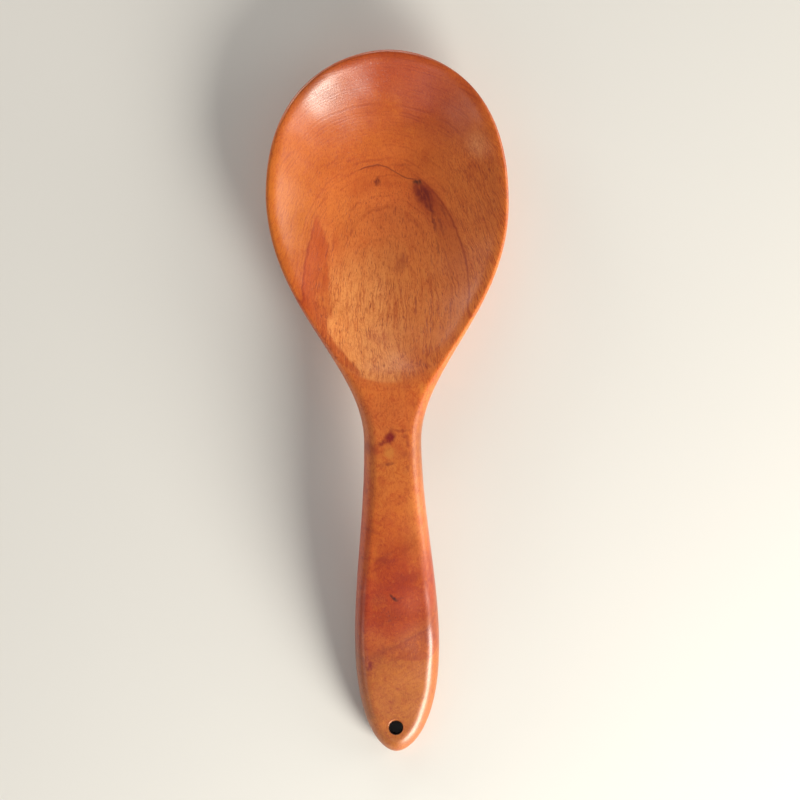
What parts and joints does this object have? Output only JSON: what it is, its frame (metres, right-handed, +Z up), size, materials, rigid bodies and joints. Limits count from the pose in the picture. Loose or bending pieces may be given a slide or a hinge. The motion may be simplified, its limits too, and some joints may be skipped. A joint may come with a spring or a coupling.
{
  "type": "wooden serving spoon",
  "caption": "Hand-carved wooden serving spoon: an egg-shaped hollowed bowl, slim neck and leaf-shaped handle with a hanging hole, for scooping rice or stew.",
  "frame": {"origin": "on the table plane, under the middle of the spoon's length and width", "axes": "+Y along the spoon towards the bowl's tip, +Z up out of the bowl's hollow, X across the spoon"},
  "size_m": [0.076, 0.22, 0.0238],
  "materials": {
    "wood": "oiled and polished hardwood, reddish orange-brown with darker growth rings"
  },
  "bodies": {
    "root": {"spoon": "wood"}
  },
  "joints": []
}
